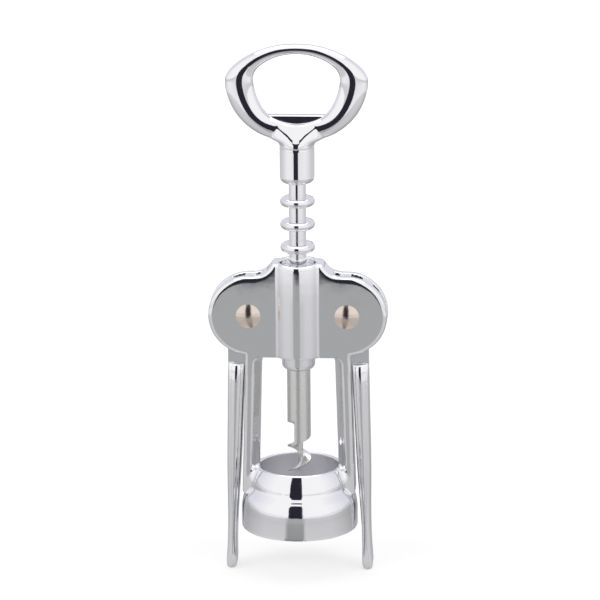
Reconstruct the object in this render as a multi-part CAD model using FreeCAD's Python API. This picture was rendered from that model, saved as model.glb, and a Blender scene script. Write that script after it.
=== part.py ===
import FreeCAD, Part
import math
import os

# Wing corkscrew, in millimetres.  The spindle axis is Z and points up, the front faces -Y,
# and the origin is the centre of the bell's base plane.  It is drawn at rest: wings down, spindle up.

V = FreeCAD.Vector
X_AXIS = V(1, 0, 0)
Y_AXIS = V(0, 1, 0)
Z_AXIS = V(0, 0, 1)
LEFT = -1
RIGHT = 1

# ---- Clearances ----
running_clearance = 0.05        # pins, bush and rings in their bores, per side
gear_side_clearance = 0.15      # lever web to cheek, per side
sweep_clearance = 0.3           # moving metal to fixed metal, where nothing bears

# ---- Bell: the double ring that sits over the bottle's mouth ----
bell_base_radius = 20.7
bell_foot_round = 0.5
bell_plumb_height = 6.4         # the lower ring's wall is upright up to here
bell_barrel_radius = 17.0       # curve of that wall above it, seen from the side
bell_shoulder_round = 2.8
bell_ledge_height = 14.0
bell_ring_height = 8.7          # upper ring, from the ledge to the rim
bell_ring_bore_radius = 14.05
bell_dome_radius = 16.5         # curve of the upper ring's outside, seen from the side
bell_dome_drop = 1.3            # centre of that curve below the ledge
bell_rim_round = 0.45
bell_ledge_cove = 0.5           # concave corner between upper ring and shoulder
neck_bore_radius = 16.0
neck_bore_depth = 11.5
neck_bore_chamfer = 0.5

# ---- Struts and window ----
window_height = 40.4            # bell rim to the underside of the tube
strut_top_outer = 18.6          # distance of the outer face from the axis, at the window's top
strut_outer_lean = 1.2          # how far that face has moved out at the bell rim
strut_inner_lean = 1.15         # the same for the inner ridge
strut_ridge_width = 5.75        # outer face to inner ridge, at the window's top
strut_flange_width = 3.0        # outer face to the edge of the front and back flanges
strut_ridge_flat = 1.6          # height of the flat on the inner ridge, front to back
strut_edge_round = 0.8
window_corner_radius = 2.2      # struts flare into the head by this curve
strut_foot_depth = 1.0          # struts start this far below the ledge
strut_head_depth = 2.0          # and end this far inside the cheeks

# ---- Head: tube, cheeks and slots ----
tube_outer_radius = 8.8
tube_below_pivot = 15.3
tube_above_pivot = 18.9
tube_rim_round = 1.3
tube_foot_round = 0.5
tube_mouth_round = 0.35
head_depth = 10.4               # front face to back face of the cheeks
cheek_edge_round = 1.25
tube_cove_radius = 1.2          # hollow between the tube and the cheeks' faces
lobe_rim = 0.3                  # cheek lobe beyond the tips of the gear teeth
shoulder_radius = 8.0           # hollow curve from lobe to tube
shoulder_reach = 7.4            # centre of that curve beyond the tube's side
slot_roof_reach = 3.7           # solid roof between the cheeks, beyond the tube's side

# ---- Rack spindle: a shaft with full rings, so that it can spin in mesh ----
rack_pitch = 8.3
ring_count = 6
ring_radius = 6.15
ring_thickness = 3.1
shaft_radius = 3.05
lowest_ring_drop = 0.8          # lowest ring below the lever pivots, wings down
ring_bore_clearance = 0.1
foot_radius = 4.8
foot_thickness = 1.0

# ---- Lever gears ----
teeth_per_turn = 10
tooth_count = 6
tooth_width = 4.5
tooth_tip_round = 0.9
tooth_root_round = 0.6
rack_line_radius = 4.19         # pitch line of the rack, from the axis
tip_gap = 0.45                  # tooth tip to shaft
root_gap = 0.4                  # ring edge to gear root
web_thickness = 3.5

# ---- Lever arms ----
neck_inner_gap = 0.3            # lever neck and arm, beside the strut
arm_top_width = 6.0
arm_tip_width = 3.4
arm_depth = 9.4
arm_shoulder_drop = 17.7        # pivot to the step where the arm grows out of the web
arm_length = 94.0               # pivot to tip
arm_tip_spread = 3.8            # how far the inner face leans out from shoulder to tip
arm_edge_round = 1.3
arm_crown = 0.45                # bulge of the arm's front and back faces
arm_tip_round = 1.0             # rounding of the tip all round its flat end

# ---- Pivot rivets ----
rivet_radius = 2.0
rivet_head_radius = 4.35
rivet_head_height = 1.25
rivet_tail_radius = 3.3
rivet_tail_height = 0.8
rivet_dimple_radius = 1.2
rivet_dimple_depth = 1.6

# ---- Guide bush at the foot of the spindle ----
bush_length = 11.0
bush_below_tube = 4.9
bush_skirt_radius = 5.88
bush_skirt_length = 6.6
bush_end_round = 1.9
journal_radius = 3.0
end_play = 0.1

# ---- Worm ----
worm_radius = 4.15
worm_core_radius = 1.5
worm_point_radius = 0.3
worm_reach = 38.4               # bush to point
thread_pitch = 9.4
thread_rim_width = 1.0          # flight thickness at the rim
thread_root_width = 2.0         # flight thickness at the core
groove_end_angle = 620.0        # the groove runs out here; 180 degrees is the flight's tip
groove_runout_angle = 60.0      # over these last degrees its floor rises to the skin
core_full_angle = 400.0         # above this angle the core has its full radius
stub_radius = 1.9
stub_length = 10.0

# ---- Opener handle ----
socket_above_pivot = 47.5
socket_radius = 6.15
socket_length = 13.5
socket_end_round = 2.0
socket_bore_depth = 10.5
handle_pin_radius = 1.2
handle_pin_rise = 5.6           # cross pin above the end of the socket
handle_pin_inset = 0.15         # pin ends below the socket's skin
ring_belly_rise = 35.8          # widest line of the handle ring above the end of the socket
ring_half_depth = 2.9
facet_foot_depth = 6.05         # half depth of the handle at the foot of its facets
facet_foot_rise = 15.9
facet_top_depth = 3.1           # the same at their top
facet_top_rise = 21.2
hole_floor_radius = 16.5
hole_floor_rise = 20.9
lifter_rise = 24.1              # straight edge of the cap lifter
lifter_half_width = 12.6
lifter_front = -0.7
lifter_back = 2.5
lifter_bevel = 0.5

# ---- Derived sizes ----
bell_height = bell_ledge_height + bell_ring_height
tube_bottom = bell_height + window_height
pivot_height = tube_bottom + tube_below_pivot
tube_top = pivot_height + tube_above_pivot
gear_pitch_radius = rack_pitch * teeth_per_turn / (2 * math.pi)
pivot_offset = gear_pitch_radius + rack_line_radius
gear_tip_radius = pivot_offset - shaft_radius - tip_gap
gear_root_radius = pivot_offset - ring_radius - root_gap
tooth_step = 360.0 / teeth_per_turn
lobe_radius = gear_tip_radius + lobe_rim
bore_radius = ring_radius + ring_bore_clearance
half_depth = head_depth / 2
slot_width = web_thickness + 2 * gear_side_clearance
slot_radius = lobe_radius + 0.05
lowest_ring = pivot_height - lowest_ring_drop
socket_bottom = pivot_height + socket_above_pivot
bush_bottom = tube_bottom - bush_below_tube
bush_top = bush_bottom + bush_length
shaft_bottom = bush_top + end_play
shaft_top = socket_bottom + socket_bore_depth
pin_height = socket_bottom + handle_pin_rise
worm_shoulder = bush_bottom - end_play
worm_tip = bush_bottom - worm_reach


# ---- Small helpers ----
def line(start, end):
    return Part.LineSegment(start, end).toShape()


def xz(x, z, y=0.0):
    return V(x, y, z)


def arc_xz(centre_x, centre_z, radius, start_degrees, end_degrees, y=0.0):
    """Arc in a plane square to Y, from one angle to the other."""
    def at(degrees):
        angle = math.radians(degrees)
        return V(centre_x + radius * math.cos(angle), y, centre_z + radius * math.sin(angle))
    middle = (start_degrees + end_degrees) / 2
    return Part.Arc(at(start_degrees), at(middle), at(end_degrees)).toShape()


def face_of(edges):
    return Part.Face(Part.Wire(edges))


def polygon_face(points):
    return Part.Face(Part.makePolygon(points + [points[0]]))


def slab(face, thickness):
    """Extrudes a face drawn at y = 0 to both sides of that plane."""
    face.translate(V(0, -thickness / 2, 0))
    return face.extrude(V(0, thickness, 0))


def turned(points):
    """Solid of revolution about Z.  Points are (radius, z), or (radius, z, round) for a rounded corner."""
    edges = rounded_outline([(p[0], p[1], p[2] if len(p) > 2 else 0.0) for p in points])
    return face_of(edges).revolve(V(0, 0, 0), Z_AXIS, 360)


def rounded_outline(corners):
    """Closed outline in the XZ plane; each corner is (x, z, radius)."""
    starts = []
    ends = []
    count = len(corners)
    for i in range(count):
        corner = xz(corners[i][0], corners[i][1])
        before = xz(corners[i - 1][0], corners[i - 1][1]) - corner
        after = xz(corners[(i + 1) % count][0], corners[(i + 1) % count][1]) - corner
        radius = corners[i][2]
        before.normalize()
        after.normalize()
        setback = radius / math.tan(before.getAngle(after) / 2) if radius else 0.0
        starts.append(corner + before * setback)
        ends.append(corner + after * setback)
    edges = []
    for i in range(count):
        if corners[i][2]:
            corner = xz(corners[i][0], corners[i][1])
            inward = (starts[i] + ends[i]) * 0.5 - corner
            half_angle = (starts[i] - corner).getAngle(ends[i] - corner) / 2
            centre_distance = corners[i][2] / math.sin(half_angle)
            inward.normalize()
            middle = corner + inward * (centre_distance - corners[i][2])
            edges.append(Part.Arc(starts[i], middle, ends[i]).toShape())
        following = starts[(i + 1) % count]
        if ends[i].distanceToPoint(following) > 1e-6:
            edges.append(line(ends[i], following))
    return edges


def round_edges(solid, radius, wanted):
    """Rounds the edges for which wanted(edge) is true."""
    edges = [edge for edge in solid.Edges if wanted(edge)]
    return solid.makeFillet(radius, edges)


def cylinder_y(x, z, radius, start_y, end_y):
    return Part.makeCylinder(radius, end_y - start_y, V(x, start_y, z), Y_AXIS)


def is_parallel(edge, axis):
    if edge.Curve.TypeId != "Part::GeomLine":
        return False
    return abs(abs(edge.Curve.Direction.dot(axis)) - 1) < 1e-6


# ---- Frame: bell, struts, cheeks and tube in one casting ----
def lower_ring():
    """Upright wall that curves in to a rounded shoulder, over the bore for the bottle's mouth."""
    barrel_x = bell_base_radius - bell_barrel_radius
    shoulder_z = bell_ledge_height - bell_shoulder_round
    reach = bell_barrel_radius - bell_shoulder_round
    tilt = math.asin((shoulder_z - bell_plumb_height) / reach)
    shoulder_x = barrel_x + reach * math.cos(tilt)
    foot_x = bell_base_radius - bell_foot_round
    outline = [
        line(xz(neck_bore_radius + neck_bore_chamfer, 0), xz(foot_x, 0)),
        arc_xz(foot_x, bell_foot_round, bell_foot_round, -90, 0),
        line(xz(bell_base_radius, bell_foot_round), xz(bell_base_radius, bell_plumb_height)),
        arc_xz(barrel_x, bell_plumb_height, bell_barrel_radius, 0, math.degrees(tilt)),
        arc_xz(shoulder_x, shoulder_z, bell_shoulder_round, math.degrees(tilt), 90),
        line(xz(shoulder_x, bell_ledge_height), xz(bell_ring_bore_radius, bell_ledge_height)),
        line(xz(bell_ring_bore_radius, bell_ledge_height), xz(bell_ring_bore_radius, neck_bore_depth)),
        line(xz(bell_ring_bore_radius, neck_bore_depth), xz(neck_bore_radius, neck_bore_depth)),
        line(xz(neck_bore_radius, neck_bore_depth), xz(neck_bore_radius, neck_bore_chamfer)),
        line(xz(neck_bore_radius, neck_bore_chamfer), xz(neck_bore_radius + neck_bore_chamfer, 0)),
    ]
    return face_of(outline).revolve(V(0, 0, 0), Z_AXIS, 360)


def upper_ring():
    """Domed wall whose outside runs over a thin rim into the bore."""
    rim_x = bell_ring_bore_radius + bell_rim_round
    rim_z = bell_height - bell_rim_round
    dome_z = bell_ledge_height - bell_dome_drop
    tilt = math.asin((rim_z - dome_z) / (bell_dome_radius - bell_rim_round))
    dome_x = rim_x - (bell_dome_radius - bell_rim_round) * math.cos(tilt)
    outline = [
        line(xz(bell_ring_bore_radius, dome_z), xz(dome_x + bell_dome_radius, dome_z)),
        arc_xz(dome_x, dome_z, bell_dome_radius, 0, math.degrees(tilt)),
        arc_xz(rim_x, rim_z, bell_rim_round, math.degrees(tilt), 180),
        line(xz(bell_ring_bore_radius, rim_z), xz(bell_ring_bore_radius, dome_z)),
    ]
    return face_of(outline).revolve(V(0, 0, 0), Z_AXIS, 360)


def make_bell():
    bell = lower_ring().fuse(upper_ring()).removeSplitter()

    def between_rings(edge):
        box = edge.BoundBox
        return box.ZLength < 1e-6 and bell_ledge_height - 1 < box.ZMin and box.ZMax < bell_ledge_height - 1e-6
    return round_edges(bell, bell_ledge_cove, between_rings)


def strut_section(height):
    """Section of the right strut: flanges in front and behind, ridge on the inside, rounded corners."""
    down = (tube_bottom - height) / window_height
    climb = max(0.0, height - (tube_bottom - window_corner_radius)) / window_corner_radius
    flare = window_corner_radius * (1 - math.sqrt(1 - min(1.0, climb) ** 2))
    outer = strut_top_outer + strut_outer_lean * down
    ridge = strut_top_outer - strut_ridge_width + strut_inner_lean * down - flare
    flange = outer - strut_flange_width - flare
    half_flat = strut_ridge_flat / 2
    corners = [
        (outer, -half_depth, strut_edge_round),
        (outer, half_depth, strut_edge_round),
        (flange, half_depth, strut_edge_round),
        (ridge, half_flat, strut_edge_round),
        (ridge, -half_flat, strut_edge_round),
        (flange, -half_depth, strut_edge_round),
    ]
    section = Part.Wire(rounded_outline(corners))
    section.rotate(V(0, 0, 0), X_AXIS, 90)
    section.translate(V(0, 0, height))
    return section


def make_strut():
    """Right strut, from inside the bell's shoulder to the flare that runs into the cheeks."""
    flare_start = tube_bottom - window_corner_radius
    straight = [strut_section(bell_ledge_height - strut_foot_depth), strut_section(flare_start)]
    flare = [strut_section(flare_start + window_corner_radius * math.sin(math.radians(angle)))
             for angle in (0, 20, 40, 55, 68, 80)]
    strut = Part.makeLoft(straight, True, True).fuse(Part.makeLoft(flare, True, False))
    end = Part.Face(flare[-1])
    return strut.fuse(end.extrude(V(0, 0, strut_head_depth)))


def cheek_outline():
    """Right half of the head seen from the front, from the axis to the lobe."""
    shoulder_x = tube_outer_radius + shoulder_reach
    gap = lobe_radius + shoulder_radius
    shoulder_z = pivot_height + math.sqrt(gap ** 2 - (pivot_offset - shoulder_x) ** 2)
    meet_angle = math.degrees(math.atan2(shoulder_z - pivot_height, shoulder_x - pivot_offset))
    top_drop = shoulder_z - tube_top
    top_angle = 180 + math.degrees(math.asin(top_drop / shoulder_radius))
    top_x = shoulder_x + shoulder_radius * math.cos(math.radians(top_angle))
    side_z = pivot_height - math.sqrt(lobe_radius ** 2 - (strut_top_outer - pivot_offset) ** 2)
    side_angle = math.degrees(math.atan2(side_z - pivot_height, strut_top_outer - pivot_offset))
    return [
        line(xz(0, tube_bottom), xz(strut_top_outer, tube_bottom)),
        line(xz(strut_top_outer, tube_bottom), xz(strut_top_outer, side_z)),
        arc_xz(pivot_offset, pivot_height, lobe_radius, side_angle, meet_angle),
        arc_xz(shoulder_x, shoulder_z, shoulder_radius, meet_angle + 180, top_angle),
        line(xz(top_x, tube_top), xz(0, tube_top)),
        line(xz(0, tube_top), xz(0, tube_bottom)),
    ]


def make_cheeks():
    """Both cheeks of the right side as one block, its front and back edges rounded."""
    block = slab(face_of(cheek_outline()), head_depth)

    def on_rim(edge):
        box = edge.BoundBox
        flat = box.YLength < 1e-6 and abs(abs(box.YMin) - half_depth) < 1e-6
        return flat and box.XMax > tube_outer_radius and edge.Length > 1.0 and box.ZMax > tube_bottom + 0.5
    return round_edges(block, cheek_edge_round, on_rim)


def make_tube():
    profile = [
        (0, tube_bottom),
        (tube_outer_radius, tube_bottom, tube_foot_round),
        (tube_outer_radius, tube_top, tube_rim_round),
        (0, tube_top),
    ]
    return turned(profile)


def make_slot():
    """Room for the right lever's gear between the cheeks, open above the gear."""
    disc = cylinder_y(pivot_offset, pivot_height, slot_radius, -slot_width / 2, slot_width / 2)
    opening_start = tube_outer_radius + slot_roof_reach
    opening = Part.makeBox(pivot_offset - opening_start, slot_width, lobe_radius + cheek_edge_round,
                           V(opening_start, -slot_width / 2, pivot_height))
    return disc.fuse(opening)


def make_bore():
    mouth = bore_radius + tube_mouth_round
    profile = [
        (0, tube_bottom - 1),
        (bore_radius, tube_bottom - 1),
        (bore_radius, tube_top - tube_mouth_round),
        (mouth, tube_top),
        (mouth, tube_top + 1),
        (0, tube_top + 1),
    ]
    return turned(profile)


def make_cove():
    """Strip that fills the right front corner between the tube and the cheek's face with a hollow curve."""
    centre_y = -half_depth - tube_cove_radius
    centre_x = math.sqrt((tube_outer_radius + tube_cove_radius) ** 2 - centre_y ** 2)
    centre = V(centre_x, centre_y, 0)
    on_tube = centre * (tube_outer_radius / (tube_outer_radius + tube_cove_radius))
    on_cheek = V(centre_x, -half_depth, 0)
    chord_middle = (on_tube + on_cheek) * 0.5 - centre
    chord_middle.normalize()
    buried = on_tube + V(0, tube_cove_radius, 0)
    section = face_of([
        Part.Arc(on_tube, centre + chord_middle * tube_cove_radius, on_cheek).toShape(),
        line(on_cheek, buried),
        line(buried, on_tube),
    ])
    section.translate(V(0, 0, tube_bottom + tube_foot_round))
    return section.extrude(V(0, 0, tube_top - tube_rim_round - tube_bottom - tube_foot_round))


def mirrored(solid):
    return solid.mirror(V(0, 0, 0), X_AXIS)


def make_frame():
    strut = make_strut()
    cheeks = make_cheeks()
    front_cove = make_cove()
    back_cove = front_cove.mirror(V(0, 0, 0), Y_AXIS)
    right_side = [strut, cheeks, front_cove, back_cove]
    body = make_bell().multiFuse([make_tube()] + right_side + [mirrored(solid) for solid in right_side])
    slot = make_slot()
    holes = [cylinder_y(side * pivot_offset, pivot_height, rivet_radius, -half_depth - 1, half_depth + 1)
             for side in (LEFT, RIGHT)]
    body = body.cut(Part.Compound([make_bore()] + holes))
    body = body.cut(slot).cut(mirrored(slot))
    return body.removeSplitter()


# ---- Levers ----
def tooth_angles():
    """Angles of the right gear's teeth, counter-clockwise from +X, wings down."""
    gap_drop = lowest_ring_drop + rack_pitch / 2
    first = 180 + math.degrees(gap_drop / gear_pitch_radius)
    return [first - i * tooth_step for i in range(tooth_count)]


def tooth_face(degrees):
    half = tooth_width / 2
    tip = gear_tip_radius
    corners = [(gear_root_radius - 2, -half, 0), (tip, -half, tooth_tip_round),
               (tip, half, tooth_tip_round), (gear_root_radius - 2, half, 0)]
    face = face_of(rounded_outline(corners))
    face.rotate(V(0, 0, 0), Y_AXIS, -degrees)
    return face


def make_gear():
    """Toothed web of the right lever, centred on its pivot, with the neck that carries the arm."""
    root = Part.Face(Part.Wire(Part.makeCircle(gear_root_radius, V(0, 0, 0), Y_AXIS)))
    root.rotate(V(0, 0, 0), Y_AXIS, 90)
    plain_start = tooth_angles()[0] + 20
    plain_end = tooth_angles()[-1] - 30 + 360
    sector = face_of([
        line(V(0, 0, 0), xz(gear_tip_radius * math.cos(math.radians(plain_start)),
                            gear_tip_radius * math.sin(math.radians(plain_start)))),
        arc_xz(0, 0, gear_tip_radius, plain_start, plain_end),
        line(xz(gear_tip_radius * math.cos(math.radians(plain_end)),
                gear_tip_radius * math.sin(math.radians(plain_end))), V(0, 0, 0)),
    ])
    inner = arm_inner_x(arm_shoulder_drop) - pivot_offset
    neck = polygon_face([
        xz(inner, -gear_root_radius / 2),
        xz(inner, -arm_shoulder_drop - 2.5),
        xz(inner + arm_top_width, -arm_shoulder_drop - 2.5),
        xz(inner + arm_top_width, -gear_root_radius / 2),
    ])
    pieces = [slab(face, web_thickness) for face in [sector, neck] + [tooth_face(a) for a in tooth_angles()]]
    gear = slab(root, web_thickness).multiFuse(pieces).removeSplitter()

    def at_tooth_root(edge):
        middle = edge.CenterOfMass
        return is_parallel(edge, Y_AXIS) and abs(math.hypot(middle.x, middle.z) - gear_root_radius) < 0.01
    return round_edges(gear, tooth_root_round, at_tooth_root)


def arm_inner_x(drop):
    """Distance of the arm's inner face from the spindle axis, at a depth below the pivot."""
    share = (drop - arm_shoulder_drop) / (arm_length - arm_shoulder_drop)
    return strut_top_outer + neck_inner_gap + arm_tip_spread * share


def arm_section(drop, depth, inset):
    """Section of the right arm: flat sides, rounded corners, bulging front and back, drawn in by the inset."""
    share = (drop - arm_shoulder_drop) / (arm_length - arm_shoulder_drop)
    width = arm_top_width + (arm_tip_width - arm_top_width) * share
    inner = arm_inner_x(drop) - pivot_offset + inset
    outer = arm_inner_x(drop) - pivot_offset + width - inset
    middle = (inner + outer) / 2
    depth = depth - 2 * inset
    radius = min(arm_edge_round, depth / 4, (outer - inner) * 0.4)
    side_y = depth / 2 - arm_crown - radius
    front_y = depth / 2
    turn = radius * (1 - math.sqrt(0.5))
    z = -drop
    edges = []
    for sign in (-1, 1):
        a_x = inner if sign < 0 else outer
        b_x = outer if sign < 0 else inner
        start = V(a_x, sign * side_y, z)
        first_turn = V(a_x - sign * radius, sign * (side_y + radius), z)
        second_turn = V(b_x + sign * radius, sign * (side_y + radius), z)
        end = V(b_x, sign * side_y, z)
        edges.append(Part.Arc(start, V(a_x - sign * turn, sign * (side_y + radius - turn), z), first_turn).toShape())
        edges.append(Part.Arc(first_turn, V(middle, sign * front_y, z), second_turn).toShape())
        edges.append(Part.Arc(second_turn, V(b_x + sign * turn, sign * (side_y + radius - turn), z), end).toShape())
        edges.append(line(end, V(b_x, -sign * side_y, z)))
    return Part.Wire(edges)


def make_arm():
    """Right arm, from the shoulder on the web to the rounded tip."""
    swelling = [
        (0.0, 0.42),
        (0.5, 0.64),
        (1.6, 0.80),
        (3.6, 0.88),
        (10.0, 0.95),
        (20.0, 0.99),
        (40.0, 1.0),
    ]
    sections = [arm_section(arm_shoulder_drop + drop, arm_depth * share, 0) for drop, share in swelling]
    tip_start = arm_length - arm_tip_round
    sections.append(arm_section(tip_start - 4 * arm_tip_round, arm_depth, 0))
    for angle in (0, 30, 55, 75, 90):
        drop = tip_start + arm_tip_round * math.sin(math.radians(angle))
        sections.append(arm_section(drop, arm_depth, arm_tip_round * (1 - math.cos(math.radians(angle)))))
    return Part.makeLoft(sections, True, False)


def make_lever(side):
    lever = make_gear().fuse(make_arm())
    lever = lever.cut(cylinder_y(0, 0, rivet_radius + running_clearance, -half_depth, half_depth))
    lever = lever.removeSplitter()
    if side == LEFT:
        lever = mirrored(lever)
    lever.translate(V(side * pivot_offset, 0, pivot_height))
    return lever


# ---- Pivot rivets ----
def make_rivet(side):
    """Domed head in front, shank through cheeks and lever, upset tail with a dimple behind."""
    dome_radius = (rivet_head_radius ** 2 + rivet_head_height ** 2) / (2 * rivet_head_height)
    edge_angle = math.degrees(math.asin(rivet_head_radius / dome_radius))
    grip = head_depth
    tail = grip + rivet_tail_height
    outline = [
        arc_xz(0, dome_radius - rivet_head_height, dome_radius, 270, 270 + edge_angle),
        line(xz(rivet_head_radius, 0), xz(rivet_radius, 0)),
        line(xz(rivet_radius, 0), xz(rivet_radius, grip)),
        line(xz(rivet_radius, grip), xz(rivet_tail_radius, grip)),
        line(xz(rivet_tail_radius, grip), xz(rivet_tail_radius - 0.5, tail)),
        line(xz(rivet_tail_radius - 0.5, tail), xz(rivet_dimple_radius, tail)),
        line(xz(rivet_dimple_radius, tail), xz(0, tail - rivet_dimple_depth)),
        line(xz(0, tail - rivet_dimple_depth), xz(0, -rivet_head_height)),
    ]
    rivet = face_of(outline).revolve(V(0, 0, 0), Z_AXIS, 360)
    rivet.rotate(V(0, 0, 0), X_AXIS, -90)
    rivet.translate(V(side * pivot_offset, -half_depth, pivot_height))
    return rivet


# ---- Spindle: rack, bush, worm and cross pin ----
def make_rack():
    """Shaft with bull-nosed rings, a foot that rests on the bush, and a socket for the worm's stub."""
    nose = ring_thickness / 2
    edges = [
        line(xz(stub_radius, shaft_bottom), xz(foot_radius, shaft_bottom)),
        line(xz(foot_radius, shaft_bottom), xz(foot_radius, shaft_bottom + foot_thickness)),
        line(xz(foot_radius, shaft_bottom + foot_thickness), xz(shaft_radius, shaft_bottom + foot_thickness)),
    ]
    reached = shaft_bottom + foot_thickness
    for i in range(ring_count):
        height = lowest_ring + i * rack_pitch
        edges.append(line(xz(shaft_radius, reached), xz(shaft_radius, height - nose)))
        edges.append(line(xz(shaft_radius, height - nose), xz(ring_radius - nose, height - nose)))
        edges.append(arc_xz(ring_radius - nose, height, nose, -90, 90))
        edges.append(line(xz(ring_radius - nose, height + nose), xz(shaft_radius, height + nose)))
        reached = height + nose
    stub_top = shaft_bottom + stub_length
    edges += [
        line(xz(shaft_radius, reached), xz(shaft_radius, shaft_top)),
        line(xz(shaft_radius, shaft_top), xz(0, shaft_top)),
        line(xz(0, shaft_top), xz(0, stub_top)),
        line(xz(0, stub_top), xz(stub_radius, stub_top)),
        line(xz(stub_radius, stub_top), xz(stub_radius, shaft_bottom)),
    ]
    rack = face_of(edges).revolve(V(0, 0, 0), Z_AXIS, 360)
    return rack.cut(make_handle_pin())


def make_handle_pin():
    half_length = socket_radius - handle_pin_inset
    return Part.makeCylinder(handle_pin_radius, 2 * half_length, V(-half_length, 0, pin_height), X_AXIS)


def make_guide_bush():
    """Turned bush: a guiding land inside the tube and a slimmer skirt that shows below it."""
    skirt_top = bush_bottom + bush_skirt_length
    profile = [
        (journal_radius + running_clearance, bush_bottom),
        (bush_skirt_radius, bush_bottom, bush_end_round),
        (bush_skirt_radius, skirt_top),
        (ring_radius, skirt_top + 0.4),
        (ring_radius, bush_top, 0.4),
        (journal_radius + running_clearance, bush_top),
    ]
    return turned(profile)


def groove_section(degrees):
    """Section of the worm's groove in the half plane at this angle."""
    rise = thread_pitch * (degrees - 180) / 360
    middle = worm_tip + rise + thread_pitch / 2
    taper = max(0.0, min(1.0, (core_full_angle - degrees) / (core_full_angle - 180)))
    inner = worm_core_radius + (worm_point_radius - worm_core_radius) * taper
    runout = max(0.0, 1 - (groove_end_angle - degrees) / groove_runout_angle)
    inner = inner + (worm_radius - worm_core_radius) * runout ** 2
    outer = worm_radius + 1.0
    inner_half = (thread_pitch - thread_root_width) / 2
    rim_slope = (thread_root_width - thread_rim_width) / (worm_radius - worm_core_radius)
    outer_half = inner_half + rim_slope * (outer - inner) / 2
    angle = math.radians(degrees)
    direction = V(math.cos(angle), math.sin(angle), 0)
    corners = [
        direction * inner + V(0, 0, middle - inner_half),
        direction * outer + V(0, 0, middle - outer_half),
        direction * outer + V(0, 0, middle + outer_half),
        direction * inner + V(0, 0, middle + inner_half),
    ]
    return Part.makePolygon(corners + [corners[0]])


def make_worm():
    """Auger with a journal for the bush and a stub that is pressed into the rack."""
    thread_stock = Part.makeCylinder(worm_radius, worm_shoulder - worm_tip, V(0, 0, worm_tip))
    first_angle = -180.0
    steps = round((groove_end_angle - first_angle) / 24)
    step = (groove_end_angle - first_angle) / steps
    sections = [groove_section(first_angle + i * step) for i in range(steps + 1)]
    groove = Part.makeLoft(sections, True, False)
    thread = thread_stock.cut(groove)
    journal = Part.makeCylinder(journal_radius, shaft_bottom - worm_shoulder, V(0, 0, worm_shoulder))
    stub = Part.makeCylinder(stub_radius, stub_length, V(0, 0, shaft_bottom))
    return thread.multiFuse([journal, stub])


# ---- Opener handle ----
def ring_station(outer_x, outer_rise, inner_x, inner_rise, depth):
    """Oval section of the handle ring between a point on its outside and one on its inside."""
    outer = xz(outer_x, socket_bottom + outer_rise)
    inner = xz(inner_x, socket_bottom + inner_rise)
    centre = (outer + inner) * 0.5
    reach = outer - centre
    unit = Part.makeCircle(1.0)
    matrix = FreeCAD.Matrix(reach.x, 0, 0, centre.x,
                            0, depth, 0, 0,
                            reach.z, 0, 1, centre.z,
                            0, 0, 0, 1)
    return Part.Wire(unit.transformGeometry(matrix))


def handle_ring():
    """Eye-shaped ring: one long span round the top and a short one below, between the same two ovals."""
    rise = ring_belly_rise
    depth = ring_half_depth
    right = [
        (3.3, rise - 21.5, 2.4, rise - 14.6, depth + 0.3),
        (9.8, rise - 19.9, 6.2, rise - 13.5, depth + 0.3),
        (15.7, rise - 16.6, 9.8, rise - 11.6, depth + 0.1),
        (20.2, rise - 12.3, 12.3, rise - 8.7, depth),
        (23.4, rise - 6.5, 14.2, rise - 4.4, depth),
        (25.05, rise - 0.3, 15.0, rise + 0.1, depth),
        (23.4, rise + 4.6, 14.1, rise + 3.9, depth),
        (19.8, rise + 8.0, 12.4, rise + 6.2, depth - 0.1),
        (14.3, rise + 11.2, 9.5, rise + 8.1, depth - 0.2),
        (7.5, rise + 13.3, 5.4, rise + 9.9, depth - 0.3),
    ]
    top = (0, rise + 13.9, 0, rise + 10.7, depth - 0.3)
    bottom = (0, rise - 21.7, 0, rise - 14.8, depth + 0.3)
    left = [(-ox, oz, -ix, iz, d) for ox, oz, ix, iz, d in reversed(right)]
    stations = right + [top] + left
    span = Part.makeLoft([ring_station(*values) for values in stations], True, False)
    bridge = Part.makeLoft([ring_station(*values) for values in (left[-1], bottom, right[0])], True, False)
    return span.fuse(bridge)


def handle_hub():
    """Flared throat from the round socket into the ring, with a sloping facet in front and behind."""
    throat = socket_bottom + socket_length
    flare = [
        (0.0, 0.0, 0.0),
        (0.6, 0.12, 0.0),
        (1.5, 0.9, 0.02),
        (2.4, 2.8, 0.1),
        (3.4, 4.6, 0.3),
        (5.2, 5.4, 0.9),
        (8.0, 4.6, 2.0),
        (11.0, 3.4, 3.2),
    ]
    sections = []
    for rise, widening, thinning in flare:
        width = socket_radius + widening
        depth = socket_radius - thinning
        matrix = FreeCAD.Matrix(width, 0, 0, 0, 0, depth, 0, 0, 0, 0, 1, throat + rise, 0, 0, 0, 1)
        sections.append(Part.Wire(Part.makeCircle(1.0).transformGeometry(matrix)))
    hub = Part.makeLoft(sections, True, False)
    foot = socket_bottom + facet_foot_rise
    top = socket_bottom + facet_top_rise
    slope = (facet_foot_depth - facet_top_depth) / (top - foot)
    high = top + 8
    keep = polygon_face([
        V(0, -facet_foot_depth - slope * 8, foot - 8),
        V(0, facet_foot_depth + slope * 8, foot - 8),
        V(0, facet_top_depth - slope * 8, high),
        V(0, -facet_top_depth + slope * 8, high),
    ])
    keep.translate(V(-30, 0, 0))
    hub = hub.common(keep.extrude(V(60, 0, 0)))
    floor_centre = socket_bottom + hole_floor_rise + hole_floor_radius
    return hub.cut(cylinder_y(0, floor_centre, hole_floor_radius, -20, 20))


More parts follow.
